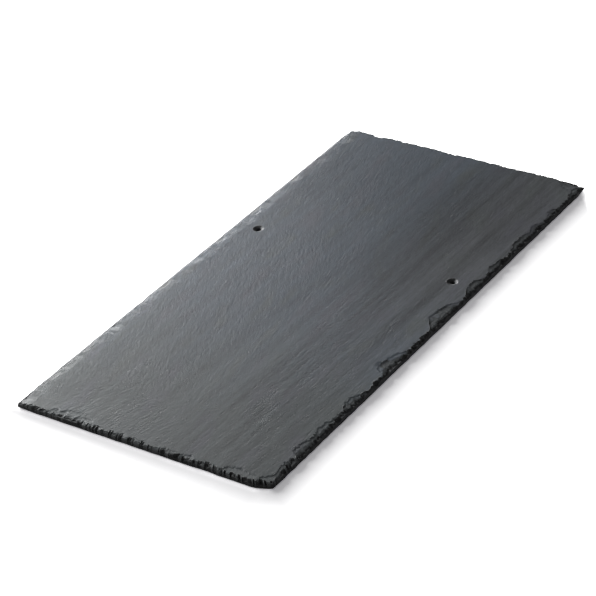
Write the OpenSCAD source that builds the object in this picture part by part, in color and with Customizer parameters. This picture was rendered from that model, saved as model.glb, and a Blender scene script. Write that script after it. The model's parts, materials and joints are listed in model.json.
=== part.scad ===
// Riven roofing and cladding slate with dressed edges and two nail holes.
// It lies bed down on z = 0, face up, with its tail at -Y and its head at +Y.

/* [Slate] */
// Length from the tail to the head
slate_length = 500; // [400:10:650]
// Width across the face
slate_width = 250; // [180:10:400]
// Thickness from the bed to the face
slate_thickness = 6; // [4:0.5:12]

/* [Dressed edges] */
// How far the face stands back from the foot on the two long sides
side_bevel = 1.2; // [1:0.1:4]
// How far the face stands back from the foot at the tail and the head
end_bevel = 1; // [1:0.1:4]
// Height of the broken step around the face
lip_drop = 0.5; // [0.2:0.1:1.2]
// How far that step leans inwards
lip_run = 0.5; // [0.2:0.1:0.9]
// Further drop of a chip's scar from that step out to the upright edge
scar_drop = 2.1; // [0.5:0.1:2.4]
// Most that a small nibble takes off the face's rim
nibble_reach = 1.1; // [0:0.1:2]
// Most that the foot wanders in from a straight line
foot_waver = 0.5; // [0:0.1:1]
// Spacing of the points along an edge
edge_pitch = 5; // [4:0.5:10]
// Draw that places the nibbles
nibble_draw = 7; // [1:1:50]

/* [Corners] */
// Broken corner at the tail, measured across the slate
tail_cut_across = 13; // [2:0.5:25]
// Broken corner at the tail, measured along the slate
tail_cut_along = 5.5; // [2:0.5:25]
// Broken corner at the head, measured across the slate
head_cut_across = 8; // [2:0.5:25]
// Broken corner at the head, measured along the slate
head_cut_along = 3.5; // [2:0.5:25]

/* [Nail holes] */
// Overlap of a course over the next but one
head_lap = 100; // [50:5:150]
// Distance from that overlap up to the nails
nail_gap = 10; // [5:1:25]
// Distance of a nail hole from its long side
nail_inset = 24; // [18:1:40]
// Diameter of a nail hole
nail_d = 5; // [3:0.5:8]
// Diameter of the spalled crater around a hole on the face
spall_d = 10; // [9:0.5:16]
// Depth of that crater
spall_depth = 1.6; // [0.5:0.1:2.5]

/* [Hidden] */

slate_grey = [0.36, 0.38, 0.41];
overcut = 1;
bore_facets = 64;
sound_margin = 3;
corner_share = 0.9;

half_width = slate_width / 2;
half_length = slate_length / 2;
nail_line = (slate_length + head_lap) / 2 + nail_gap;
nail_x = half_width - nail_inset;
nail_y = nail_line - half_length;
lip_height = slate_thickness - lip_drop;
foot_height = lip_height - scar_drop;

// The large chips of each side: place of the deepest point along the side from 0 to 1,
// length before and after it, reach into the face, and reach into the foot
tail_chips = [
    [0.2, 14, 24, 3.5, 0],
    [0.44, 5, 6, 3.5, 0],
    [0.62, 10, 10, 3, 0.4],
    [0.8, 12, 10, 3.5, 0.8]
];
right_chips = [
    [0.022, 6, 22, 5, 0],
    [0.088, 8, 20, 9, 0],
    [0.15, 11, 15, 7.5, 0],
    [0.236, 12, 13, 8, 0],
    [0.34, 6, 30, 11.5, 0],
    [0.512, 16, 27, 12, 0],
    [0.63, 17, 8, 8, 0],
    [0.688, 11, 12, 6, 0],
    [0.792, 26, 12, 6.5, 0],
    [0.83, 10, 10, 5.5, 0],
    [0.892, 8, 6, 5.5, 0],
    [0.976, 12, 10, 6, 0]
];
head_chips = [
    [0.03, 6, 16, 7, 0],
    [0.33, 9, 11, 4, 0.4],
    [0.58, 14, 12, 3.5, 0.5],
    [0.9, 7, 7, 4.5, 2.6]
];
left_chips = [
    [0.195, 6, 8, 5, 0.5],
    [0.325, 7, 9, 8, 0.4],
    [0.432, 6, 8, 6, 0.6],
    [0.6, 10, 12, 5, 0.4],
    [0.66, 5, 7, 4, 1],
    [0.82, 9, 10, 4.5, 0.5],
    [0.911, 8, 9, 6, 0.8]
];

// Fields that hold a chip's reach
face_field = 3;
foot_field = 4;

// The outline runs anticlockwise from the left end of the tail
corners = [
    [-half_width, -half_length],
    [half_width - tail_cut_across, -half_length],
    [half_width, -half_length + tail_cut_along],
    [half_width, half_length],
    [-half_width + head_cut_across, half_length],
    [-half_width, half_length - head_cut_along]
];
side_chips = [tail_chips, [], right_chips, head_chips, [], left_chips];
side_bevels = [end_bevel, side_bevel, side_bevel, end_bevel, side_bevel, side_bevel];
side_count = len(corners);
sides = [0 : side_count - 1];

function side_after(i) = (i + 1) % side_count;
function side_before(i) = (i + side_count - 1) % side_count;
function side_run(i) = corners[side_after(i)] - corners[i];
function side_length(i) = norm(side_run(i));
function outward(i) = [side_run(i).y, -side_run(i).x] / side_length(i);
function step_count(i) = max(2, round(side_length(i) / edge_pitch));

// Corner i after its two sides have moved in by the depths of a ring
function inset_corner(i, depths) =
    let (
        a = outward(side_before(i)),
        b = outward(i),
        depth_a = depths[side_before(i)],
        depth_b = depths[i],
        lean = a * b
    )
    corners[i] - ((depth_a - lean * depth_b) * a + (depth_b - lean * depth_a) * b) / (1 - lean * lean);

// A chip's outline is a quarter of an ellipse on each side of its deepest point
function chip_bite(along, before, after, reach) =
    let (share = along < 0 ? -along / before : along / after)
    share < 1 ? reach * sqrt(1 - share * share) : 0;

// The deepest chip at a distance along side i, in one of the two fields of its reach.
// Near a corner it is held to a share of the way from that corner, so that chips of two sides don't meet.
function side_bite(i, distance, field) =
    min(
        corner_share * min(distance, side_length(i) - distance),
        max([0, for (chip = side_chips[i])
            chip_bite(distance - chip[0] * side_length(i), chip[1], chip[2], chip[field])])
    );

// Random values for the points of side i, none at its first corner
function side_draws(i, reach, draw) =
    [0, each rands(0, reach, step_count(i) - 1, draw + i)];

function foot_depths(i) =
    let (wander = side_draws(i, foot_waver, nibble_draw + side_count))
    [for (j = [0 : step_count(i) - 1])
        j == 0 ? 0 : max(wander[j], side_bite(i, j * side_length(i) / step_count(i), foot_field))];

function rim_depths(i) =
    let (
        nibbles = side_draws(i, nibble_reach, nibble_draw),
        feet = foot_depths(i)
    )
    [for (j = [0 : step_count(i) - 1])
        j == 0 ? side_bevels[i] : max(
            side_bevels[i] + nibbles[j],
            feet[j] + side_bevels[i],
            side_bite(i, j * side_length(i) / step_count(i), face_field)
        )];

function lip_depths(i) = [for (depth = rim_depths(i)) depth - lip_run];

// One closed ring at height z: base is each side's depth at its corners, depths its depth at each point
function ring(z, base, depths) =
    [for (i = sides)
        let (
            start = inset_corner(i, base),
            finish = inset_corner(side_after(i), base)
        )
        for (j = [0 : step_count(i) - 1])
            let (point = start + (finish - start) * j / step_count(i) - outward(i) * (depths[i][j] - base[i]))
            [point.x, point.y, z]];

foot_base = [for (i = sides) 0];
lip_base = [for (bevel = side_bevels) bevel - lip_run];
all_feet = [for (i = sides) foot_depths(i)];
all_lips = [for (i = sides) lip_depths(i)];
all_rims = [for (i = sides) rim_depths(i)];

// The sound rectangle in the middle, which no chip reaches
deepest_chip = max([for (chips = side_chips) for (chip = chips) chip[face_field]]);
sound_x = half_width - deepest_chip - sound_margin;
sound_y = half_length - deepest_chip - sound_margin;

// Each point of a ring moved to the nearest place on that rectangle
function sound_ring(points) =
    [for (p = points) [max(-sound_x, min(sound_x, p.x)), max(-sound_y, min(sound_y, p.y)), p.z]];

foot_ring = ring(0, foot_base, all_feet);
rim_ring = ring(slate_thickness, side_bevels, all_rims);
slate_rings = [
    sound_ring(foot_ring),
    foot_ring,
    ring(foot_height, foot_base, all_feet),
    ring(lip_height, lip_base, all_lips),
    rim_ring,
    sound_ring(rim_ring)
];

// The first point of a ring at the same place as its point j
function first_alike(points, j) = [for (k = [0 : j]) if (points[k] == points[j]) k][0];

// Closed solid through a stack of rings with equal numbers of points, shut by a fan at each end
module loft(rings, bed_centre, face_centre) {
    count = len(rings[0]);
    last = len(rings) - 1;
    bed_index = len(rings) * count;
    face_index = bed_index + 1;
    index = [for (r = [0 : last]) [for (j = [0 : count - 1]) r * count + first_alike(rings[r], j)]];
    columns = [for (j = [0 : count - 1]) [j, (j + 1) % count]];
    walls = [for (r = [0 : last - 1], c = columns)
        each [
            [index[r][c[0]], index[r + 1][c[0]], index[r + 1][c[1]]],
            [index[r][c[0]], index[r + 1][c[1]], index[r][c[1]]]
        ]];
    under = [for (c = columns) [bed_index, index[0][c[0]], index[0][c[1]]]];
    over = [for (c = columns) [face_index, index[last][c[1]], index[last][c[0]]]];
    polyhedron(
        points = [for (r = rings) each r, bed_centre, face_centre],
        faces = [for (f = concat(under, walls, over)) if (f[0] != f[1] && f[1] != f[2] && f[2] != f[0]) f]
    );
}

// Punched hole, straight from the bed and spalled open at the face
module nail_hole() {
    rotate_extrude($fn = bore_facets)
        polygon([
            [0, -overcut],
            [nail_d / 2, -overcut],
            [nail_d / 2, slate_thickness - spall_depth],
            [spall_d / 2, slate_thickness],
            [spall_d / 2, slate_thickness + overcut],
            [0, slate_thickness + overcut]
        ]);
}

module slate() {
    color(slate_grey)
        difference() {
            loft(slate_rings, [0, 0, 0], [0, 0, slate_thickness]);
            for (side = [-1, 1])
                translate([side * nail_x, nail_y, 0])
                    nail_hole();
        }
}

slate();
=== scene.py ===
# %% [markdown]
# # A riven slate with dressed edges
#
# A cladding slate is one thin slab of stone. It is split along its cleavage, so its two broad faces
# are riven: almost flat, with a fine grain. Its four edges are dressed, that is, sheared from the back
# with a blade, so the front of the edge breaks away in chips. Two nail holes are punched through it.
#
# The exact slab comes from the frame, where it is a plain solid with its main chips. This lesson
# wraps a much finer skin around that solid, and gives the skin the stone's relief and colour.

# %% The frame and the units
import json
import math

import bmesh
import bpy
from mathutils import Matrix, Quaternion, Vector, noise
from mathutils.bvhtree import BVHTree


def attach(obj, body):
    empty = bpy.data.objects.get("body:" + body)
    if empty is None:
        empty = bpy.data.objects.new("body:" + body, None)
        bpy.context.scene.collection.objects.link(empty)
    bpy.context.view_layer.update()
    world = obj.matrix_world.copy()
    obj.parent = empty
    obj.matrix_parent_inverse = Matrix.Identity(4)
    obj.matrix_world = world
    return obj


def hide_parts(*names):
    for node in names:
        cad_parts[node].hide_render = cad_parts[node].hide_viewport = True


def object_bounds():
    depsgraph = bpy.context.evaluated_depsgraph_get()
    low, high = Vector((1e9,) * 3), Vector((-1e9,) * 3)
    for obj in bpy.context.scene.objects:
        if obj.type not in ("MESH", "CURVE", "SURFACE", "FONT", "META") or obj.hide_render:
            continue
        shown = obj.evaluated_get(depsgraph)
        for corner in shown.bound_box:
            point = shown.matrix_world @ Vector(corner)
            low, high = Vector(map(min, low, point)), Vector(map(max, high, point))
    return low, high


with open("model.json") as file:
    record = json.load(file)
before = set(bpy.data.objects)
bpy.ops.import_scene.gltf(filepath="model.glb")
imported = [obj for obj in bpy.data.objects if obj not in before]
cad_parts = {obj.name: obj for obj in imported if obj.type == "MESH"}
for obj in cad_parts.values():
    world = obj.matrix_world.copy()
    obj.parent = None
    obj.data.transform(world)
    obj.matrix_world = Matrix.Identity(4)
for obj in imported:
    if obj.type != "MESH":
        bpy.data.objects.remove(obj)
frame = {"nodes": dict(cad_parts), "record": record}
cad_low, cad_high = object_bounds()
MM = 0.001
half_width, half_length, thickness = cad_high


def mm(length):
    """A length in millimetres, rounded for a print."""
    return round(length / MM, 2)


print("slab", [mm(size) for size in cad_high - cad_low], "mm")

# %% [markdown]
# ## The camera
#
# The picture looks down on the slate from its right and its tail, through a long lens that is held a
# little crooked. The lens goes on a camera whose back vector comes from two angles, and a last turn
# about that vector gives the tilt. A long lens far away keeps the long edges almost parallel.

# %% Set the camera
view_azimuth = math.radians(37.61)
view_elevation = math.radians(32.49)
view_distance = 2.0898
view_tilt = math.radians(-6.39)
aim = Vector((-9.94, -12, 0)) * MM
sensor_width = 36
lens_length = 147.76

back = Vector((
    math.sin(view_azimuth) * math.cos(view_elevation),
    -math.cos(view_azimuth) * math.cos(view_elevation),
    math.sin(view_elevation),
))
camera_data = bpy.data.cameras.new("camera")
camera_data.sensor_width = sensor_width
camera_data.lens = lens_length
camera = bpy.data.objects.new("camera", camera_data)
camera.location = aim + back * view_distance
camera.rotation_mode = "QUATERNION"
camera.rotation_quaternion = (-back).to_track_quat("-Z", "Y") @ Quaternion((0, 0, 1), view_tilt)
bpy.context.scene.collection.objects.link(camera)
bpy.context.scene.camera = camera
print("camera at", [mm(value) for value in camera.location], "mm")

# %% [markdown]
# ## Asking the solid for its shape
#
# Every point of the skin has to lie on the slab that the frame holds. A BVH tree answers rays quickly:
# a ray that falls from above gives the height of the face, and one that flies in from the side gives
# the outline. So a chip that is in the solid is in the skin too, with no number copied. The places of
# the nail holes come from the record in the same way.

# %% Rays against the solid
solid = bmesh.new()
solid.from_mesh(frame["nodes"]["slate"].data)
tree = BVHTree.FromBMesh(solid)
solid.free()

clear_above = 20 * MM
wall_probe = 1.5 * MM
hair = 0.02 * MM
DOWN = Vector((0, 0, -1))


def height_at(x, y):
    """Height of the solid's face, or None beside it and in its holes."""
    place, _, _, _ = tree.ray_cast(Vector((x, y, clear_above)), DOWN)
    return place.z if place and place.z > wall_probe else None


def outline_at(start, inward):
    """Where a ray that flies in at the foot of the edge meets the solid."""
    origin = Vector((start.x, start.y, wall_probe)) - inward * clear_above
    place, _, _, _ = tree.ray_cast(origin, inward)
    return Vector((place.x, place.y, 0))


edge_drop = thickness - height_at(half_width - hair, half_length - hair)
print("the upright edge starts", mm(edge_drop), "mm below the face")

# %% Look up the nail holes
holes = [mount for mount in frame["record"]["mounts"] if mount["kind"] == "bore"]
hole_centres = [Vector((mount["pos_m"][0], mount["pos_m"][1], 0)) for mount in holes]
hole_radius = holes[0]["dims"]["r_mm"] * MM
spall_drop = thickness - height_at(hole_centres[0].x + hole_radius + hair, hole_centres[0].y)
print("holes", len(holes), "of", mm(2 * hole_radius), "mm, burst", mm(spall_drop), "mm deep")

# %% [markdown]
# ## The blank
#
# The field in the middle of the slate is calm and needs few faces, but the rim is all small breaks.
# One even grid would waste its faces on the field. So a coarse grid covers the field, its border is
# extruded outwards, the new edges are split, and fine rows are extruded from them, closer
# and closer together towards the edge. Vertex layers remember which sheet a point belongs to, where
# on the field's border its column starts, and how far in from the edge it lies: extruding and
# splitting carry layers along.

# %% Layers that remember
rim_width = 14 * MM
field_x, field_y = half_width - rim_width, half_length - rim_width
FACE, WALL, BED, BORE = 1, 2, 3, 4

bm = bmesh.new()
sheet = bm.verts.layers.int.new("sheet")
home = bm.verts.layers.float_vector.new("home")
inset = bm.verts.layers.float.new("inset")
# Two of these layers carry colour: one marks chips and the painted shade of steep breaks, the other pale
# dust and painted light.
broken = bm.verts.layers.float.new("broken")
dust_and_light = bm.verts.layers.float.new("dust_and_light")
fallen = bm.verts.layers.float.new("fallen")
print("field", mm(2 * field_x), "x", mm(2 * field_y), "mm")


# %% Loops that grow and split
def grow(loop):
    """Extrude a loop of edges by one row, and return the new points and the new loop."""
    made = bmesh.ops.extrude_edge_only(bm, edges=loop)["geom"]
    points = [part for part in made if isinstance(part, bmesh.types.BMVert)]
    fresh = set(points)
    edges = [part for part in made if isinstance(part, bmesh.types.BMEdge)]
    return points, [edge for edge in edges if fresh.issuperset(edge.verts)]


def rim_of(number):
    """The open edges of one sheet."""
    return [edge for edge in bm.edges if edge.is_boundary and edge.verts[0][sheet] == number]


def is_near(edge):
    """Whether an edge of a rim lies on the right or at the tail, the two sides with the boldest breaks."""
    middle = (edge.verts[0][home] + edge.verts[1][home]) / 2
    return middle.x > field_x - hair or middle.y < hair - field_y


def split(number, near_pieces, far_pieces):
    """Cut each edge of a sheet's outer loop into equal pieces, and return the finer loop."""
    near = [edge for edge in rim_of(number) if is_near(edge)]
    bmesh.ops.subdivide_edges(bm, edges=near, cuts=near_pieces - 1)
    far = [edge for edge in rim_of(number) if not is_near(edge)]
    bmesh.ops.subdivide_edges(bm, edges=far, cuts=far_pieces - 1)
    return rim_of(number)


print("a loop of edges can grow and split")


# %% Grow the face and its rim
def field_with_rim(number, cells, rows, splits):
    """A grid over the field, with a row of faces around it for each inset, made finer at each split."""
    points = bmesh.ops.create_grid(bm, x_segments=cells[0], y_segments=cells[1], size=1)["verts"]
    bmesh.ops.scale(bm, vec=(field_x, field_y, 1), verts=points)
    for point in points:
        point[sheet] = number
        point[home] = point.co
        point[inset] = rim_width
    loop = rim_of(number)
    for row, depth in enumerate(rows):
        ring, loop = grow(loop)
        for point in ring:
            point[inset] = depth
        if row in splits:
            loop = split(number, *splits[row])
    return loop


def points_of(number):
    """All points of one sheet."""
    return [point for point in bm.verts if point[sheet] == number]


face_cells = (60, 128)
first_row = 12.8 * MM
rows_after = 23
row_crowding = 1.3
face_rows = [first_row * (1 - row / rows_after) ** row_crowding for row in range(rows_after + 1)]
# After a row: the pieces of each edge on the near sides, and on the far ones
face_splits = {0: (8, 4)}
face_loop = field_with_rim(FACE, face_cells, face_rows, face_splits)
print("face", len(points_of(FACE)), "points, outer loop", len(face_loop), "edges")

# %% [markdown]
# ## The outline
#
# The rim still lies on top of the field's border. Each column of it now fans out to the edge of the
# solid: straight across along the sides, and turning to the diagonal near a corner. A ray along the
# column finds the edge, and the rows are spread between that edge and the field. The points of the two
# broken corners are rubbed a little blunt.

# %% The broken corners
blunt_reach = 0.9 * MM
blunt_length = 7 * MM
tail_cut = Vector((13, 5.5, 0)) * MM
head_cut = Vector((8, 3.5, 0)) * MM
blunt_corners = [
    Vector((half_width - tail_cut.x, -half_length, 0)),
    Vector((half_width, tail_cut.y - half_length, 0)),
    Vector((head_cut.x - half_width, half_length, 0)),
    Vector((-half_width, half_length - head_cut.y, 0)),
]
print("blunt points", len(blunt_corners))

# %% Spread the rim to the edge
fan_length = 60 * MM
key_digits = 6
brinks = {}


def fan(value, field, edge):
    """A coordinate on the field's border, moved out to the slab's edge near the corners."""
    free = field - fan_length
    if abs(value) <= free:
        return value
    return math.copysign(free + (abs(value) - free) * (edge - free) / fan_length, value)


def column(start):
    """Key of the column that starts at a point of the field's border."""
    return round(start.x, key_digits), round(start.y, key_digits)


def brink(start):
    """The point of the edge that belongs to a point of the field's border, and the way inwards from it."""
    key = column(start)
    if key not in brinks:
        border = Vector((start.x, start.y, 0))
        square = Vector((fan(start.x, field_x, half_width), fan(start.y, field_y, half_length), 0))
        inward = (border - square).normalized()
        edge = outline_at(square, inward)
        away = min((edge - corner).length for corner in blunt_corners)
        worn = max(1 - away / blunt_length, 0) ** 2
        brinks[key] = (edge + inward * blunt_reach * worn, inward)
    return brinks[key]


def spread(points):
    """Lay rim points between the edge and the field."""
    for point in points:
        if point[inset] < rim_width:
            edge, _ = brink(point[home])
            border = Vector((point[home].x, point[home].y, 0))
            point.co = edge.lerp(border, point[inset] / rim_width)


spread(points_of(FACE))
print("outline", len(brinks), "points")

# %% [markdown]
# ## The edge and the bed
#
# The sheared edge is a wall of rows pulled down from the outer loop. Under it the bed is a second grid,
# coarser than the face because it is hidden, whose rim is split until it has as many points as the
# wall. Then the two loops can be bridged into one closed skin.

# %% Pull down the wall and bridge the bed
wall_rows = 6
wall_loop = face_loop
for row in range(wall_rows):
    ring, wall_loop = grow(wall_loop)
    for point in ring:
        point[sheet] = WALL
        point[inset] = (row + 1) / wall_rows
        point.co.z = -thickness * point[inset]

bed_cells = (30, 64)
bed_rows = [depth * MM for depth in (9, 5, 2.2, 0.9, 0.2)]
bed_splits = {0: (4, 2), 1: (4, 4)}
bed_loop = field_with_rim(BED, bed_cells, bed_rows, bed_splits)
spread(points_of(BED))
for point in points_of(BED):
    point.co.z = -thickness - rim_width
bmesh.ops.bridge_loops(bm, edges=rim_of(WALL) + bed_loop)
print("wall", len(points_of(WALL)), "points, bed", len(points_of(BED)), "points")

# %% [markdown]
# ## The nail holes
#
# A slater punches a nail hole from the back, so it is clean there and bursts open on the face. A
# boolean cut would leave long thin faces around it. So the grid is cut away around each hole, the gap
# is bridged to a circle, and rings are extruded and scaled inwards until they reach the bore. The same
# is done on the bed, and the bore joins the two.

# %% Rings around a hole
hole_points = 48
hole_clear = 9 * MM


def pierce(number, centre, radii):
    """Cut one sheet away around a hole, and fill the gap with rings; returns the innermost loop."""
    near = [face for face in bm.faces if all(point[sheet] == number for point in face.verts)]
    near = [face for face in near if (face.calc_center_median().xy - centre.xy).length < hole_clear]
    level = near[0].verts[0].co.z
    bmesh.ops.delete(bm, geom=near, context="FACES")
    gap = rim_of(number)
    gap = [edge for edge in gap if (edge.verts[0].co.xy - centre.xy).length < hole_clear + rim_width]
    place = Vector((centre.x, centre.y, level))
    circle = bmesh.ops.create_circle(
        bm, cap_ends=False, segments=hole_points, radius=radii[0], matrix=Matrix.Translation(place)
    )["verts"]
    for point in circle:
        point[sheet] = number
        point[inset] = rim_width
    loop = list(dict.fromkeys(edge for point in circle for edge in point.link_edges))
    bmesh.ops.bridge_loops(bm, edges=gap + loop)
    for wider, narrower in zip(radii, radii[1:]):
        ring, loop = grow(loop)
        share = narrower / wider
        bmesh.ops.scale(bm, vec=(share, share, 1), space=Matrix.Translation(-place), verts=ring)
    return loop


print("a hole has", hole_points, "points around")

# %% Pierce both sheets
face_rings = [radius * MM for radius in (6.5, 6, 5.6, 5.2, 4.8, 4.4, 4, 3.6, 3.2, 2.8)]
bed_rings = [radius * MM for radius in (3.6, 2.8)]
bore_rows = 6
for centre in hole_centres:
    loop = pierce(FACE, centre, face_rings + [hole_radius])
    for row in range(bore_rows):
        ring, loop = grow(loop)
        for point in ring:
            point[sheet] = BORE
            point[inset] = (row + 1) / (bore_rows + 1)
            point.co.z = -thickness * point[inset]
    bed_circle = pierce(BED, centre, bed_rings + [hole_radius])
    bmesh.ops.bridge_loops(bm, edges=loop + bed_circle)
open_edges = sum(not edge.is_manifold for edge in bm.edges)
print("bore", len(points_of(BORE)), "points, open edges", open_edges)

# %% [markdown]
# ## Breaking the edge
#
# The shear leaves small nibbles in the rim of the face, most of all on the right, and a comb of narrow
# notches between upright teeth, most of all at the tail. Modelling each by hand would take thousands
# of cuts, so noise along the edge says how far a nibble or a notch reaches in. The place where the
# solid is asked for its height is also pushed about by noise, so its clean curves become ragged. That
# vector noise starts from a draw of its own, so its seed is set: each run then gives the same slate.

# %% Noise along the edge
side_draw_x, side_draw_y, draw_start = 2.3, 3.7, 0.3


def ease(low, high, value):
    """Smooth step from 0 at low to 1 at high."""
    share = min(max((value - low) / (high - low), 0), 1)
    return share * share * (3 - 2 * share)


def as_share(value):
    """Noise from -1 to 1 as a share from 0 to 1."""
    return 0.5 + 0.5 * value


def stretched_noise(place, size):
    """Noise whose grains have the given size in each direction."""
    return noise.noise(Vector((place.x / size.x, place.y / size.y, place.z / size.z)))


def comb_noise(edge, inward, size, draw):
    """Noise along an edge, of its own for each side and each draw."""
    run = edge.x if abs(inward.y) > abs(inward.x) else edge.y
    side = side_draw_x * inward.x + side_draw_y * inward.y
    return noise.noise(Vector((run / size, side, draw + draw_start)))


print("halfway, a smooth step from 0 to 1 is at", ease(0, 1, as_share(0)))

# %% Nibbles
nibbles = [(2.8 * MM, 12 * MM), (2 * MM, 4.5 * MM), (1.2 * MM, 1.9 * MM)]
right_share, left_share, end_share = 1, 0.3, 0.15
ragged = [(0.9 * MM, 8 * MM), (0.7 * MM, 3 * MM), (0.35 * MM, 1.3 * MM)]
ragged_draw = 7
noise.seed_set(ragged_draw)


def nibble(edge, inward):
    """How far small breaks push the rim of the face back, most of all on the right."""
    total = sum(reach * max(noise.noise(edge / size), 0) for reach, size in nibbles)
    sides = right_share * max(-inward.x, 0) + left_share * max(inward.x, 0)
    return total * (sides + end_share * abs(inward.y))


def warp(place):
    """Sideways push that makes clean curves ragged."""
    return sum((noise.noise_vector(place / size) * reach for reach, size in ragged), Vector())


right_steps = range(-200, 200)
right_edge = [Vector((half_width, step * MM, 0)) for step in right_steps]
right_nibble = max(nibble(edge, Vector((-1, 0, 0))) for edge in right_edge)
print("nibbles of the right side reach in", mm(right_nibble), "mm at most")

# %% The comb
comb_reach = 2.8 * MM
comb_pitch = 1.7 * MM
length_pitch = 2 * comb_pitch
floor_pitch = 3 * comb_pitch
comb_patch = 16 * MM
tail_comb, right_comb, head_comb, left_comb = 1, 0.6, 0.45, 0.4
LENGTH_DRAW, PATCH_DRAW, GROOVE_DRAW, FLOOR_DRAW = 3, 5, 7, 9
tooth_end, notch_start = -0.08, 0.02
shortest_notch, notch_growth = 0.35, 1.5
weak_patch, patch_growth, patch_ease = 0.7, 0.3, 0.35
high_floor, floor_fall, floor_ease = 0.6, 0.7, 0.25


def groove(edge, inward):
    """1 in a notch of the comb and 0 on a tooth."""
    return ease(tooth_end, notch_start, comb_noise(edge, inward, comb_pitch, GROOVE_DRAW))


def notch(edge, inward):
    """How far a notch of the comb reaches in from the edge."""
    own = shortest_notch + notch_growth * abs(comb_noise(edge, inward, length_pitch, LENGTH_DRAW))
    stretch = comb_noise(edge, inward, comb_patch, PATCH_DRAW)
    patch = weak_patch + patch_growth * ease(-patch_ease, patch_ease, stretch)
    sides = right_comb * max(-inward.x, 0) + left_comb * max(inward.x, 0)
    ends = tail_comb * max(inward.y, 0) + head_comb * max(-inward.y, 0)
    return comb_reach * groove(edge, inward) * min(own, 1) * patch * (sides + ends)


def notch_floor(edge, inward):
    """How far the floor of a notch lies below the face."""
    stretch = comb_noise(edge, inward, floor_pitch, FLOOR_DRAW)
    return edge_drop * (high_floor + floor_fall * ease(-floor_ease, floor_ease, stretch))


tail_steps = range(-100, 100)
tail_edge = [Vector((step * MM, -half_length, 0)) for step in tail_steps]
tail_notch = max(notch(edge, Vector((0, 1, 0))) for edge in tail_edge)
print("notches of the tail reach in", mm(tail_notch), "mm at most")

# %% [markdown]
# ## The profile of a chip
#
# A chip begins with a small step in the face. From there its scar runs almost level and then falls away
# faster and faster to the upright edge. So the straight slope of the solid is bent into a curve, made
# crumbly, and then cut into treads and quick risers, a bit like a contour map, because cleaved stone
# breaks in layers. A bump in the material could not do this, since the steps show in the outline.

# %% Steps, scars and layers
solid_lip = 0.5 * MM
skin_lip = 0.9 * MM
lip_soft = 0.1
scar_bend = 4
layer = 0.5 * MM
layer_waver = 0.4
layer_patch = 4 * MM
riser_start = 0.6


def bend(drop, lip):
    """The solid's step and slope as a step of another height and a curve."""
    if drop < solid_lip:
        return lip * ease(lip_soft, 1 - lip_soft, drop / solid_lip)
    share = (drop - solid_lip) / (edge_drop - solid_lip)
    return lip + (edge_drop - lip) * share ** scar_bend


def terrace(drop, place):
    """Break a slope into treads and risers of the stone's layers."""
    count = drop / layer + layer_waver * noise.noise(place / layer_patch)
    whole = math.floor(count)
    stepped = max((whole + ease(riser_start, 1, count - whole)) * layer, 0)
    return stepped + (drop - stepped) * ease(layer, 0, drop)


treads = range(int(edge_drop / layer) + 1)
print("a chip's scar in mm", [mm(bend(tread * layer, skin_lip)) for tread in treads])

# %% [markdown]
# ## Thin corners and the worn side
#
# Two corners are sheared so thin that they run out into a point, and the left side is worn, with
# shallower breaks than the others. Both are places where the skin has to leave the even thickness of
# the solid. Flat cones at the two corners take the stone away from above and from below, and a share
# that fades in along the left side holds its breaks shallow.

# %% Thin corners and the worn side
face_cones = [(1.9 * MM, 10 * MM), (0.6 * MM, 40 * MM)]
bed_cones = [(2.7 * MM, 11 * MM)]
thin_tail = Vector((-half_width, -half_length, 0))
thin_head = Vector((half_width, half_length, 0))
thin_corners = [(thin_tail, 0.4), (thin_head, 1)]
left_turn = 0.5
left_start = 6 * MM


def thinned(place, cones):
    """How much thinner the slate is near two of its corners, as flat cones at each."""
    total = 0
    for corner, share in thin_corners:
        away = math.hypot(place.x - corner.x, place.y - corner.y)
        total += share * sum(height * max(1 - away / reach, 0) for height, reach in cones)
    return total


def left_side(edge, inward):
    """1 on the left side, and 0 on the others and where the tail turns into it."""
    return ease(0, left_turn, inward.x) * ease(0, left_start, edge.y + half_length)


print("cut away at the head's tip", mm(thinned(thin_head, face_cones + bed_cones)), "mm")

# %% Drop of the rim and of the holes
ledge_share, ledge_depth = 0.5, 2.5
end_reach = 0.5 * MM
ragged_depth = 2 * MM
lip_waver = 0.6
lip_patch = 15 * MM
left_scar = 1.1 * MM
crumble_reach = 0.35 * MM
crumble_size = 2 * MM
crumble_full = 3
arris = 0.25 * MM
least_edge = 2 * arris


def rim_drop(place, edge, inward):
    """Drop of the chipped rim at a place that belongs to a point of the edge."""
    depth = (place - edge).length
    small = nibble(edge, inward)
    pushed = small * (ledge_share + (1 - ledge_share) * min(1, depth / (ledge_depth * small + hair)))
    pushed += notch(edge, inward) - end_reach * abs(inward.y)
    asked = place - inward * pushed + warp(place) * min(1, depth / ragged_depth)
    lip = skin_lip * (1 + lip_waver * noise.noise(edge / lip_patch))
    found = height_at(asked.x, asked.y)
    drop = notch_floor(edge, inward) if found is None else bend(thickness - found, lip)
    drop -= max(drop - left_scar, 0) * ease(left_turn, 1, inward.x) * left_side(edge, inward)
    drop += crumble_reach * noise.noise(place / crumble_size) * ease(lip, crumble_full * lip, drop)
    return min(terrace(drop, place), thickness - least_edge)


def hole_drop(place):
    """Drop of the burst rim of a nail hole."""
    asked = place + warp(place)
    found = height_at(asked.x, asked.y)
    return terrace(spall_drop if found is None else thickness - found, place)


print("burst rim", mm(hole_drop(hole_centres[0])), "mm deep in the middle of a hole")

# %% [markdown]
# ## Flakes and the riven swell
#
# In a few places a thin leaf of the face has come away near the edge. Each is an ellipse with a ragged
# border and one shallow step, and thins out to its right. The face itself is only very slightly wavy,
# more so along the slate than across it, and it falls off a little towards the left edge. All of this
# is far too shallow for a cut, so it is a height that is taken off the points.

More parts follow.
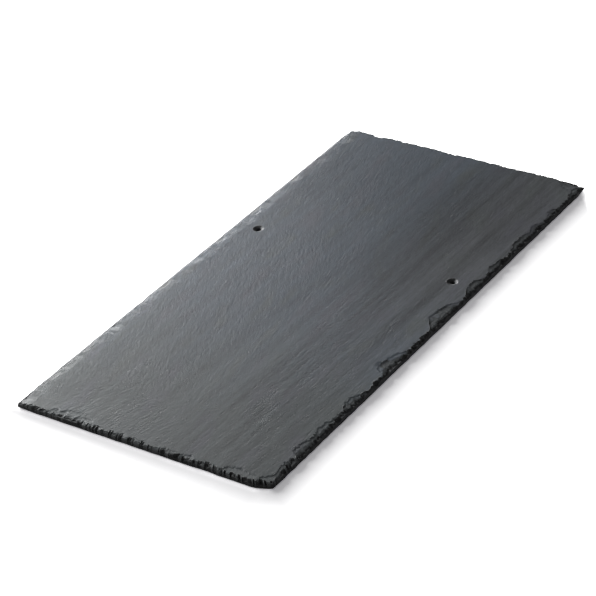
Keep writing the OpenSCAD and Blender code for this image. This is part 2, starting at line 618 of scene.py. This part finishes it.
# %% Flakes
# Middle across and along, reach across and along, and depth, all in millimetres
flakes = [
    (-84, -249, 12, 7, 0.36),
    (-70, -246, 17, 8, 0.3),
    (-58, -249, 13, 7, 0.4),
    (-44, -251, 9, 5, 0.36),
    (-2, -251, 10, 5.5, 0.36),
    (30, -251, 9, 6, 0.36),
    (46, -251, 11, 6.5, 0.4),
    (94, -249, 17, 9, 0.36),
    (150, -265, 43, 43, 0.45),
    (118, 247, 13, 12, 0.4),
]
flake_ragged = [(2.1, 5 * MM), (1.4, 1.8 * MM)]
flake_step = 0.45
flake_thin = 0.9


def flake_drop(place):
    """Depth of the thin leaves that have come away."""
    total = 0
    for x, y, reach_x, reach_y, depth in flakes:
        away = (math.hypot((place.x / MM - x) / reach_x, (place.y / MM - y) / reach_y) - 1) * reach_y
        away += sum(reach * noise.noise(place / size) for reach, size in flake_ragged)
        thins = ease(flake_thin, 0, (place.x / MM - x) / reach_x)
        total += depth * MM * ease(0, -flake_step, away) * thins
    return total


print("flakes", len(flakes), "up to", max(flake[-1] for flake in flakes), "mm deep")

# %% The swell
swell = [(0.12 * MM, Vector((55 * MM, 160 * MM, 1))), (0.05 * MM, Vector((9 * MM, 45 * MM, 1)))]
roll_start = -112 * MM
roll_waver = 6 * MM
roll_patch = 20 * MM
roll_drop = 0.25 * MM
roll_dents = [(1.6 * MM, 13 * MM), (0.8 * MM, 4.5 * MM)]
DENT_DRAW = 3


def swell_at(place):
    """Shallow waves of the riven face, always downwards."""
    waves = sum(reach * as_share(stretched_noise(place, size)) for reach, size in swell)
    start = roll_start + roll_waver * noise.noise(place / roll_patch)
    dents = 0
    for reach, size in roll_dents:
        dents += reach * max(noise.noise(Vector((DENT_DRAW, place.y / size, reach))), 0)
    return waves + (roll_drop + dents) * ease(start, -half_width, place.x)


print("swell in the middle", mm(swell_at(Vector())), "mm")


# %% Heights of the face
def break_at(point):
    """Drop of the chipped stone at a point of the face's sheet."""
    place = Vector((point.co.x, point.co.y, 0))
    if point[inset] < rim_width:
        edge, inward = brink(point[home])
        return max(rim_drop(place, edge, inward), flake_drop(place))
    if min((place - centre).length for centre in hole_centres) < rim_width:
        return hole_drop(place)
    return 0


swell_end = 2 * layer
for point in points_of(FACE):
    drop = break_at(point)
    waves = swell_at(point.co) * ease(swell_end, 0, drop)
    lowered = drop + waves + thinned(point.co, face_cones)
    lowest = thinned(point.co, bed_cones) + least_edge
    point.co.z = max(thickness - lowered, lowest)
    point[fallen] = drop
heights = [point.co.z for point in points_of(FACE)]
print("face between", mm(min(heights)), "and", mm(max(heights)), "mm")

# %% [markdown]
# ## The sheared edge and the bed
#
# Below the chips the blade has left an upright band. On the long sides it shows the stone's layers as
# faint lines along the edge, and at the two ends the notches of the comb run on down it. Both are cut
# into the wall and never stand out of it, and they end above its foot, so that the slate keeps its
# size. The bed is a plain riven face with shallow hollows, so the slate still lies flat.

# %% Relief of the wall, the bores and the bed
band_reach = 0.35 * MM
band_size = Vector((6 * MM, 6 * MM, 0.7 * MM))
tooth_reach = 1.1 * MM
relief_full, relief_fades = 0.3, 0.5
bed_hollow = 0.25 * MM
bed_size = Vector((30 * MM, 90 * MM, 1))


def wall_sunk(edge, inward, level):
    """How deep the relief of the wall is cut at a height."""
    layered = band_reach * as_share(stretched_noise(Vector((edge.x, edge.y, level)), band_size))
    return layered * abs(inward.x) + tooth_reach * groove(edge, inward) * abs(inward.y)


tops = {column(point[home]): point.co.z for point in points_of(FACE) if point[inset] == 0}
for point in points_of(WALL):
    edge, inward = brink(point[home])
    top = tops[column(point[home])]
    foot = arris + thinned(edge, bed_cones)
    level = top + (foot - top) * point[inset]
    carved = ease(0, relief_full, point[inset]) * ease(1, relief_fades, point[inset])
    point.co = Vector((edge.x, edge.y, level)) + inward * (wall_sunk(edge, inward, level) * carved)
for point in points_of(BED):
    point.co.z = bed_hollow * max(stretched_noise(point.co, bed_size), 0) + thinned(point.co, bed_cones)
for point in points_of(BORE):
    point.co.z = (thickness - spall_drop) * (1 - point[inset])
print("bed highest", mm(max(point.co.z for point in points_of(BED))), "mm, where a corner thins out")

# %% [markdown]
# ## Painted shade on breaks, and pale dust and painted light
#
# Steep and deep breaks are painted nearly black, as the shade that falls on them away from the lamps.
# The left side, which faces the lamp, and the lit teeth of the tail are left paler. The left side's chips
# are pale, partly with stone dust and partly as painted light, and the side of each hole that faces the
# lamp is a pale painted highlight, its other side painted shade. A pattern in the material can't know
# where the breaks are, so two numbers are stored on the points: how chipped and shaded the stone is
# there, and how pale. A dark point also darkens its neighbours, so that a break which is one face wide
# still shows.

# %% Mark the wall and the bores
left_lit_share, tooth_lit_share, tooth_fades = 0.6, 0.35, 0.7


def tail_tooth(edge, inward):
    """1 on a tooth of the tail's comb and 0 elsewhere."""
    return max(inward.y, 0) * (1 - groove(edge, inward))


# The wall and the bores are painted nearly black as shade, less so on the left side, which faces the lamp,
# and on the lit teeth of the tail.
for point in points_of(WALL):
    edge, inward = brink(point[home])
    tooth = tail_tooth(edge, inward) * ease(tooth_fades, 0, point[inset])
    point[broken] = 1 - max(left_lit_share * left_side(edge, inward), tooth_lit_share * tooth)
for point in points_of(BORE):
    point[broken] = 1
print("palest of the wall", round(min(point[broken] for point in points_of(WALL)), 2))

# %% Mark the face
upright_from, upright_full = 0.9, 0.66
deep_from, deep_full = 1.2 * MM, 2.2 * MM
tail_shallow = 0.25
tooth_spared = 0.4
tip_from, tip_full = 30 * MM, 8 * MM
pale_chip_from, pale_chip_full = 0.35 * MM, 0.8 * MM
burst_from, burst_full = 5.4 * MM, 4.4 * MM
lit_from, lit_full = -0.5 * MM, 2 * MM


def mark_rim(point):
    """Painted shade on steep and deep breaks, except on the left side, which faces the lamp; there the
    chips are pale, partly dusty stone and partly painted light, but not at the tail's tip.
    """
    edge, inward = brink(point[home])
    lit_left = left_side(edge, inward)
    steep = ease(upright_from, upright_full, abs(point.normal.z))
    deep = ease(deep_from, deep_full, point[fallen] * (1 - tail_shallow * max(inward.y, 0)))
    point[broken] = max(steep, deep) * (1 - lit_left) * (1 - tooth_spared * tail_tooth(edge, inward))
    tip = ease(tip_from, tip_full, (point.co - thin_tail).length)
    point[dust_and_light] = lit_left * ease(pale_chip_from, pale_chip_full, point[fallen]) * (1 - tip)


def mark_hole(point):
    """The burst around a hole, with a painted highlight on its right, which faces the lamp, and painted
    shade on its left.
    """
    offset = min((point.co.xy - centre.xy for centre in hole_centres), key=lambda way: way.length)
    burst = ease(burst_from, burst_full, offset.length)
    lit = ease(lit_from, lit_full, offset.x)
    point[dust_and_light] = burst * lit
    point[broken] = burst * (1 - lit)


bm.normal_update()
face_points = points_of(FACE)
for point in face_points:
    if point[inset] < rim_width:
        mark_rim(point)
    else:
        mark_hole(point)
dark_enough = 0.5
print("dark points", sum(point[broken] > dark_enough for point in face_points))

# %% Let the painted shade of dark breaks spread
chip_from, chip_full = 0.8 * layer, 1.8 * layer
chip_broken = 0.4
beside = [max(edge.other_vert(point)[broken] for edge in point.link_edges) for point in face_points]
for point, darkest in zip(face_points, beside):
    chip = ease(chip_from, chip_full, point[fallen])
    spared = tail_tooth(*brink(point[home])) if point[inset] < rim_width else 0
    point[broken] = max(chip_broken * chip, darkest * (1 - spared), point[broken])
print("dark points now", sum(point[broken] > dark_enough for point in face_points))

# %% [markdown]
# ## The finished skin
#
# Where a coarse edge met several fine ones, faces with many corners are left, and cutting them up would
# give slivers. A point in the middle of each makes a fan instead. On so thin and rough a shape
# the operator that turns the faces can pick the wrong side, so the sign of the volume decides. The
# layers that only the making needed are dropped, and the two that the material reads stay.

# %% Make the piece
sharp_angle = math.radians(35)
most_corners = 4
many_cornered = [face for face in bm.faces if len(face.verts) > most_corners]
bmesh.ops.poke(bm, faces=many_cornered, center_mode="MEAN_WEIGHTED")
bmesh.ops.recalc_face_normals(bm, faces=bm.faces)
if bm.calc_volume(signed=True) < 0:
    bmesh.ops.reverse_faces(bm, faces=bm.faces)
print("volume", round(bm.calc_volume(signed=True) / MM ** 3), "mm3")
bm.verts.layers.int.remove(bm.verts.layers.int["sheet"])
bm.verts.layers.float_vector.remove(bm.verts.layers.float_vector["home"])
bm.verts.layers.float.remove(bm.verts.layers.float["inset"])
bm.verts.layers.float.remove(bm.verts.layers.float["fallen"])
mesh = bpy.data.meshes.new("riven_slate")
bm.to_mesh(mesh)
bm.free()
mesh.shade_smooth()
mesh.set_sharp_from_angle(angle=sharp_angle)
slate = bpy.data.objects.new("riven_slate", mesh)
bpy.context.scene.collection.objects.link(slate)
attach(slate, "root")
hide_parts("slate")
print("triangles", sum(len(face.vertices) - 2 for face in mesh.polygons))


# %% [markdown]
# ## A small language for shaders
#
# A shader is a sum over textures. Wiring each Math node by hand hides that sum, so a small class wraps
# an output socket and lets it be added and multiplied like a number. One method adds any other node.
# The Mix node has sockets of the same name for each kind of data, so its colours are found by number.

# %% Wires
class Wire:
    """An output socket that adds Math nodes when it is used in a sum."""

    MIX_FACTOR, MIX_FIRST, MIX_SECOND, MIX_COLOUR = 0, 6, 7, 2

    def __init__(self, socket):
        self.socket = socket

    def node(self, kind, settings, inputs, output=0):
        """Add any node to the same tree: its settings first, then values or wires for its sockets."""
        nodes = self.socket.id_data
        made = nodes.nodes.new(kind)
        for name, value in settings.items():
            setattr(made, name, value)
        for name, value in inputs.items():
            if isinstance(value, Wire):
                nodes.links.new(value.socket, made.inputs[name])
            else:
                made.inputs[name].default_value = value
        return Wire(made.outputs[output]) if made.outputs else None

    def sum(self, operation, first, second):
        """One Math node."""
        return self.node("ShaderNodeMath", {"operation": operation}, {0: first, 1: second})

    def __add__(self, other):
        return self.sum("ADD", self, other)

    def __radd__(self, other):
        return self.sum("ADD", other, self)

    def __sub__(self, other):
        return self.sum("SUBTRACT", self, other)

    def __rsub__(self, other):
        return self.sum("SUBTRACT", other, self)

    def __mul__(self, other):
        return self.sum("MULTIPLY", self, other)

    def __rmul__(self, other):
        return self.sum("MULTIPLY", other, self)

    def __abs__(self):
        return self.sum("ABSOLUTE", self, 0)

    def most(self, other):
        """The larger of this and another number."""
        return self.sum("MAXIMUM", self, other)

    def centred(self):
        """Noise from 0 to 1 as noise about 0."""
        return self - 0.5

    def between(self, low, high):
        """0 at low, 1 at high, smooth between."""
        return self.node(
            "ShaderNodeMapRange",
            {"interpolation_type": "SMOOTHSTEP"},
            {"Value": self, "From Min": low, "From Max": high},
        )

    def blend(self, first, second):
        """The first number where this is 0 and the second where it is 1."""
        return first + (second - first) * self

    def mix(self, first, second):
        """The first colour where this is 0 and the second where it is 1."""
        inputs = {self.MIX_FACTOR: self, self.MIX_FIRST: first, self.MIX_SECOND: second}
        settings = {"data_type": "RGBA", "clamp_factor": True}
        return self.node("ShaderNodeMix", settings, inputs, self.MIX_COLOUR)

    def scaled(self, colour):
        """A colour made brighter or darker by this number."""
        return self.node("ShaderNodeVectorMath", {"operation": "SCALE"}, {0: colour, "Scale": self})

    def plan(self):
        """The wires of a place's X and Y."""
        across = self.node("ShaderNodeSeparateXYZ", {}, {"Vector": self}, "X")
        return across, Wire(across.socket.node.outputs["Y"])

    def noise(self, size, turn=0, detail=2, rough=0.5, wave=0):
        """Noise from 0 to 1 at this place whose grains have a size in metres in each direction."""
        laid = self.node(
            "ShaderNodeMapping",
            {"vector_type": "TEXTURE"},
            {"Vector": self, "Rotation": (0, 0, turn), "Scale": size},
        )
        return self.node(
            "ShaderNodeTexNoise",
            {},
            {"Vector": laid, "Scale": 1, "Detail": detail, "Roughness": rough, "Distortion": wave},
        )


def new_material(name):
    """An empty material and the wire of its Object coordinates."""
    material = bpy.data.materials.new(name)
    material.use_nodes = True
    material.node_tree.nodes.clear()
    coordinates = material.node_tree.nodes.new("ShaderNodeTexCoord")
    return material, Wire(coordinates.outputs["Object"])


print("wires ready")

# %% [markdown]
# ## The lay of the grain
#
# A riven face is covered with short fine ridges that lie one way, like brushed hair. Here they follow the
# slate's length on the right, and swing round to a slant on the left and another at the tail. A single
# noise has only one direction, so the same stretched noise is laid at four angles and blended.
# Each span below names where a mask starts and where it is full, in metres from the slate's middle.

# %% Masks of the grain's lay
material, place = new_material("slate")
across, along = place.plan()
swing_across, swing_along = (0.05, -0.04), (-0.27, -0.17)
swing_head, head_straighter = (0.02, 0.16), 0.5
swing_half = 0.5
tail_lay, tail_lay_left, tail_lay_right = (-0.16, -0.23), (-0.12, -0.07), (0.06, 0.0)
lay_angles = [math.radians(angle) for angle in (-3, 12, 26, -18)]

swing = across.between(*swing_across) * along.between(*swing_along)
swing = swing * (1 - head_straighter * along.between(*swing_head))
to_middle = swing.between(0, swing_half)
to_slant = swing.between(swing_half, 1)
to_tail = along.between(*tail_lay) * across.between(*tail_lay_left) * across.between(*tail_lay_right)


def lay(**grains):
    """Stretched noise that swings from the slate's length on the right to a slant on the left."""
    straight, middle, slant, tailward = [place.noise(turn=angle, **grains) for angle in lay_angles]
    return to_tail.blend(to_slant.blend(to_middle.blend(straight, middle), slant), tailward)


print("the grain lies at", [round(math.degrees(angle)) for angle in lay_angles], "degrees")

# %% [markdown]
# ## The stone's textures
#
# Seen close, the face has grain and longer strokes that trade places in clumps, ridges and bands along
# its length, broad patches, pits, dark dashes and pale specks. Each has its own size and direction, so
# each is a noise of its own, in metres, and the shade, the colour and the relief below share them.

# %% Textures
common = (0.35, 0.65)
fine_grain, clumped_grain = 0.45, 1.1
bare_stroke, clumped_stroke = 1.4, 0.7
dash_span, speck_span = (0.63, 0.7), (0.76, 0.82)

clumps = place.noise(size=(0.012, 0.022, 0.05), turn=0.3).between(*common)
grain = lay(size=(0.0014, 0.0048, 0.01), detail=2, rough=0.55, wave=0.35).centred()
grain = grain * (fine_grain + clumped_grain * clumps)
strokes = lay(size=(0.0026, 0.009, 0.01), detail=1, rough=0.5, wave=0.3).centred()
strokes = strokes * (bare_stroke - clumped_stroke * clumps)
ridges = place.noise(size=(0.0032, 0.05, 0.01), turn=-0.03, detail=3, rough=0.55, wave=0.4)
bands = place.noise(size=(0.009, 0.3, 0.05), turn=-0.03)
patches = place.noise(size=(0.05, 0.12, 0.05), turn=0.2)
pits = place.noise(size=(0.0011, 0.0011, 0.0011))
mottle = place.noise(size=(0.004, 0.008, 0.01), turn=0.4, rough=0.6).between(*common)
scar = place.noise(size=(0.0025, 0.0025, 0.0006), detail=3, rough=0.6)
cast = place.noise(size=(0.022, 0.06, 0.05), turn=0.15, rough=0.55)
dashes = place.noise(size=(0.0012, 0.007, 0.01), turn=-0.08, detail=1).between(*dash_span)
specks = place.noise(size=(0.0014, 0.0022, 0.01), turn=0.2, detail=0).between(*speck_span)
print("nodes", len(material.node_tree.nodes))

# %% [markdown]
# ## Light and dark stone
#
# All these textures make the stone a little lighter or darker. On the right half the ridges and bands
# are bolder, and there the dashes are darker. One number gathers it all, and later scales the colour.

# %% Shade of the textures
right_span, head_span, head_plainer = (-0.02, 0.06), (0.08, 0.2), 0.35
even_shade = 1.1
grain_shade, stroke_shade, mottle_shade = 0.28, 0.12, 0.09
band_shade, right_bands = 0.6, 0.6
ridge_shade, right_ridges = 0.4, 0.5
dash_shade, right_dashes = 0.1, 0.1
speck_shade, patch_shade, pit_shade = 0.22, 0.2, 0.12

right_half = across.between(*right_span)
head_end = along.between(*head_span)
streaky = right_half * (1 - head_plainer * head_end)
shade = even_shade + grain * grain_shade + strokes * stroke_shade + mottle.centred() * mottle_shade
shade = shade + bands.centred() * (band_shade + right_bands * streaky)
shade = shade + ridges.centred() * (ridge_shade + right_ridges * streaky)
shade = shade * (1 - dashes * (dash_shade + right_dashes * right_half)) * (1 + speck_shade * specks)
shade = shade + patches.centred() * patch_shade + pits.centred() * pit_shade
print("nodes", len(material.node_tree.nodes))

# %% [markdown]
# ## Veins, strips and worn places
# Some places of the face are darker or paler than the rest: a broad dark stripe towards the head with
# a dark and a pale vein, a pale strip along the right, a worn left edge, and the ends of the tail. They
# follow the stone rather than a straight line, so the distance across is bent by the ridges first. The
# ends of the tail are painted light and shade: the tip, which tilts towards the lamp, is painted darker,
# and the flakes near it are painted paler, as they catch the lamp. They
# follow the stone rather than a straight line, so the distance across is bent by the ridges first.

# %% Veins and strips
drift_slope, drift_waver = 0.03, 0.006
stripe_at, stripe_width, stripe_along = 0.042, (0.05, 0.0), (-0.04, 0.1)
dark_vein_at, dark_vein_width = 0.055, (0.0035, 0.0005)
pale_vein_at, pale_vein_width = 0.082, (0.003, 0.0005)
strip_across, strip_tail, strip_head = (0.09, 0.112), (-0.17, -0.06), (0.3, -0.06)
dull_at, dull_width, bright_head = 0.15, (0.08, 0.0), (0.19, 0.24)

drift = across - along * drift_slope + drift_waver * ridges.centred()
stripe = abs(drift - stripe_at).between(*stripe_width) * along.between(*stripe_along)
dark_vein = abs(drift - dark_vein_at).between(*dark_vein_width)
pale_vein = abs(drift - pale_vein_at).between(*pale_vein_width)
right_strip = across.between(*strip_across) * along.between(*strip_tail) * along.between(*strip_head)
head_light = along.between(*bright_head) - abs(along - dull_at).between(*dull_width)
print("nodes", len(material.node_tree.nodes))

# %% Worn places, and all of them in the shade
worn_waver, worn_across, worn_along = 0.014, (-0.107, -0.113), (0.28, -0.05)
worn_pale, worn_mottle = 0.04, 0.34
tip_across, tip_along = (-0.1, -0.118), (-0.225, -0.243)
pale_tail_at, pale_tail_width, pale_tail_along = -0.086, (0.034, 0.01), (-0.218, -0.238)

worn = (across + worn_waver * (patches.centred() + grain)).between(*worn_across)
worn = worn * (worn_pale + worn_mottle * mottle) * along.between(*worn_along)
# The tail's tip tilts towards the lamp, so it is painted darker as shade.
painted_tip_shade = across.between(*tip_across) * along.between(*tip_along)
# The flakes near the tail catch the lamp, so they are painted paler as light.
painted_flake_light = abs(across - pale_tail_at).between(*pale_tail_width) * along.between(*pale_tail_along)
brightened = [
    (stripe, -0.23),
    (worn, 1),
    (right_strip, 0.32),
    (head_light, 0.08),
    (painted_tip_shade, -0.22),
    (painted_flake_light, 0.24),
    (dark_vein, -0.13),
    (pale_vein, 0.12),
]
for where, amount in brightened:
    shade = shade * (1 + amount * where)
print("places", len(brightened))

# %% [markdown]
# ## The colour
#
# Slate is grey with a cast that drifts: bluish in the middle and towards the head, greener at the tail,
# plainer on the right, with faint violet and olive clouds. The colours are mixed by broad masks, and
# then scaled by the shade. Stone in a shallow chip is plain grey, and steep breaks and the upright wall
# are painted nearly black as shade. The left side's chips are pale, partly with stone dust and partly as
# painted light, and the lit side of each hole is a pale painted highlight.

# %% Colour of the face
blue = (0.081, 0.099, 0.122, 1)
green = (0.087, 0.1, 0.104, 1)
neutral = (0.093, 0.099, 0.108, 1)
violet = (0.094, 0.097, 0.117, 1)
olive = (0.09, 0.101, 0.102, 1)
tint_waver, tint_span = 0.15, (0.03, 0.2)
neutral_across, neutral_along = (0.0, 0.09), (-0.15, 0.1)
violet_span, olive_span, cloud_share = (0.5, 0.75), (0.48, 0.25), 0.7

face_colour = (patches.centred() * tint_waver - along).between(*tint_span).mix(blue, green)
plainer = across.between(*neutral_across) * along.between(*neutral_along)
face_colour = plainer.mix(face_colour, neutral)
face_colour = (cast.between(*violet_span) * cloud_share).mix(face_colour, violet)
face_colour = (cast.between(*olive_span) * cloud_share).mix(face_colour, olive)
face_colour = shade.scaled(face_colour)
print("nodes", len(material.node_tree.nodes))

# %% Colour of chips, of painted shade on breaks, and of pale dust and painted light
chip_dark, chip_pale = (0.073, 0.079, 0.082, 1), (0.12, 0.13, 0.134, 1)
# The wall's colours are nearly black: painted shade.
shaded_wall_dark, shaded_wall_pale = (0.014, 0.0145, 0.015, 1), (0.045, 0.0465, 0.048, 1)
pale_dust_and_light_colour = (0.3, 0.308, 0.316, 1)
half_broken = 0.5

broken_mask, dust_and_light_mask = [
    place.node("ShaderNodeAttribute", {"attribute_name": name}, {}, "Fac") for name in ("broken", "dust_and_light")
]
chipped = broken_mask.between(0, half_broken)
colour = chipped.mix(face_colour, scar.mix(chip_dark, chip_pale))
colour = broken_mask.between(half_broken, 1).mix(colour, scar.mix(shaded_wall_dark, shaded_wall_pale))
colour = dust_and_light_mask.mix(colour, pale_dust_and_light_colour)
print("nodes", len(material.node_tree.nodes))

# %% [markdown]
# ## The fine relief and the sheen
#
# The grain is too fine for points, so it is a bump of hundredths of a millimetre up to about a tenth.
# It is calmer at the tail and at the left of the head. Riven stone has a faint sheen, and
# fresh breaks are duller.

# %% Bump and surface
grain_height, stroke_height, head_grain = 0.17, 0.16, 0.25
ridge_height, pit_height, dash_depth = 0.09, 0.018, 0.03
break_pits, break_scars = 0.1, 0.25
tail_span = (-0.1, -0.2)
calm_right, calm_right_across = 0.35, (-0.06, 0.06)
calm_left, calm_left_across = 0.2, (-0.05, -0.1)
calm_head, calm_head_across = 0.15, (-0.03, -0.08)
face_rough, break_rough = 0.45, 0.35

tail_calm = calm_right * across.between(*calm_right_across) + calm_left * across.between(*calm_left_across)
calm = 1 - tail_calm * along.between(*tail_span)
calm = calm - calm_head * head_end * across.between(*calm_head_across)
relief = grain * grain_height + strokes * stroke_height
relief = relief * (1 - head_grain * right_half * (1 - head_end))
relief = (relief + ridges * ridge_height * right_half + pits * pit_height) * calm - dashes * dash_depth
relief = chipped.blend(relief, pits * break_pits + scar * break_scars)
bump = place.node("ShaderNodeBump", {}, {"Strength": 1, "Distance": MM, "Height": relief})
surface = place.node(
    "ShaderNodeBsdfPrincipled",
    {},
    {"Base Color": colour, "Roughness": face_rough + break_rough * broken_mask, "Normal": bump},
)
place.node("ShaderNodeOutputMaterial", {}, {"Surface": surface})
mesh.materials.append(material)
print("nodes", len(material.node_tree.nodes))

# %% [markdown]
# ## The floor
#
# The slate lies on a white sweep that burns out to pure white except for the soft shadow at its foot.
# Lamps strong enough for that would flood the stone. So the camera sees a bright floor that
# also glows, more so further away, and glossy and transmitted rays see it too. Near the right side and
# the tail the glow is dim, and that paints much of the soft shadow. All other rays meet
# a dim floor, so that it doesn't light the broken edges from below.

# %% Lay the floor
floor_size = 4
floor_bm = bmesh.new()
bmesh.ops.create_grid(floor_bm, x_segments=1, y_segments=1, size=floor_size)
floor_mesh = bpy.data.meshes.new("floor")
floor_bm.to_mesh(floor_mesh)
floor_bm.free()
floor = bpy.data.objects.new("floor", floor_mesh)
floor.location.z = -hair
bpy.context.scene.collection.objects.link(floor)
print("floor", 2 * floor_size, "m wide")

# %% [markdown]
# ## Where the shadow falls
#
# The shadow, partly cast by the lamps and partly painted onto the floor, shows on the right and at the
# tail, and not behind the slate. The floor's own coordinates tell how far a spot lies outside those two
# sides and the broken corner between them, and whether it lies behind the left side, the head or the tip
# of the head. A thin painted dark line follows the foot of the right side, while along the tail the floor
# is painted bright right up to the stone, and its colour there is painted dimmer towards the left and
# brighter towards the right.

# %% Masks of the floor
behind_span = (0.0, 0.008)
past_head_slope, past_head_span = 1.35, (-0.01, 0.004)
tail_strip, tail_corner = 0.018, 0.004
foot_dark, foot_line = 0.5, (0.0018, 0.0)
tail_bright, tail_line = 0.5, (0.006, 0.0)

floor_material, spot = new_material("floor")
spot_x, spot_y = spot.plan()
cut_out = Vector((tail_cut.y, -tail_cut.x, 0)).normalized()
cut_reach = cut_out.dot(blunt_corners[0])
outside = (spot_x - half_width).most(0 - spot_y - half_length)
outside = outside.most(spot_x * cut_out.x + spot_y * cut_out.y - cut_reach)
behind = (0 - spot_x - half_width).most(spot_y - half_length).between(*behind_span)
past_head = past_head_slope * (spot_x - half_width) + spot_y - half_length
behind = behind.most(past_head.between(*past_head_span))
before_tail = (0 - spot_y).between(half_length + tail_strip, half_length)
before_tail = before_tail * spot_x.between(half_width + tail_corner, half_width - tail_corner)
# A thin line of painted shade along the foot of the right side, and a line of painted light along the
# tail.
painted_foot_line = 1 - foot_dark * outside.between(*foot_line) * (1 - behind) * (1 - before_tail)
painted_foot_line = painted_foot_line + tail_bright * outside.between(*tail_line) * before_tail
print("nodes", len(floor_material.node_tree.nodes))

# %% Bright and dim floor
floor_bright, tail_floor, tail_right_floor = 1.6, 1.07, 0.73
tail_floor_span = (-0.12, 0.12)
shadow_span = (0.0, 0.054)
painted_shadow_glow, full_glow = (0.137, 0.133, 0.144, 1), (1, 1, 1, 1)
dim_grey = (0.15, 0.15, 0.15, 1)

# Before the tail the floor's colour is painted dimmer on the left and brighter on the right, as painted
# shadow and light.
painted_tail_level = tail_floor + tail_right_floor * spot_x.between(*tail_floor_span)
level = before_tail.blend(floor_bright, painted_tail_level) * painted_foot_line
white = spot.node("ShaderNodeBsdfDiffuse", {}, {"Color": level})
# The glow is dim near the right side and the tail and full further away: a painted shadow.
glow_with_painted_shadow = outside.between(*shadow_span).most(behind).mix(painted_shadow_glow, full_glow)
glow = spot.node("ShaderNodeEmission", {}, {"Color": painted_foot_line.scaled(glow_with_painted_shadow)})
bright = spot.node("ShaderNodeAddShader", {}, {0: white, 1: glow})
dim = spot.node("ShaderNodeBsdfDiffuse", {}, {"Color": dim_grey})
seen = spot.node("ShaderNodeLightPath", {}, {}, "Is Camera Ray")
rays = seen.socket.node.outputs
seen = seen.most(Wire(rays["Is Glossy Ray"])).most(Wire(rays["Is Transmission Ray"]))
shown = spot.node("ShaderNodeMixShader", {}, {0: seen, 1: dim, 2: bright})
spot.node("ShaderNodeOutputMaterial", {}, {"Surface": shown})
floor_mesh.materials.append(floor_material)
print("nodes", len(floor_material.node_tree.nodes))

# %% [markdown]
# ## The light
#
# A soft box stands low on the left and rakes across the face, so that the fine relief shows. A second
# one behind it gives the stone its faint sheen, and a weak white world fills the shadows.

# %% Set the lamps
left_place, left_size, left_power = Vector((-0.69, -0.1, 0.34)), (0.52, 0.45), 4.6
back_place, back_size, back_power = Vector((-1.218, 0.876, 0.328)), (0.776, 0.513), 10.2
world_white, world_strength = (1, 1, 1, 1), 0.162


def soft_box(name, stand, size, power):
    """A rectangular lamp that faces the middle of the slate."""
    data = bpy.data.lights.new(name, "AREA")
    data.shape = "RECTANGLE"
    data.size, data.size_y = size
    data.energy = power
    lamp = bpy.data.objects.new(name, data)
    lamp.location = stand
    lamp.rotation_mode = "QUATERNION"
    lamp.rotation_quaternion = (-stand).to_track_quat("-Z", "Y")
    bpy.context.scene.collection.objects.link(lamp)
    print(name, "at", [mm(value) for value in stand], "mm")


soft_box("left box", left_place, left_size, left_power)
soft_box("back box", back_place, back_size, back_power)
world = bpy.data.worlds.new("studio")
world.use_nodes = True
bpy.context.scene.world = world
background = world.node_tree.nodes["Background"]
background.inputs["Color"].default_value = world_white
background.inputs["Strength"].default_value = world_strength
bpy.context.scene.view_settings.view_transform = "Standard"
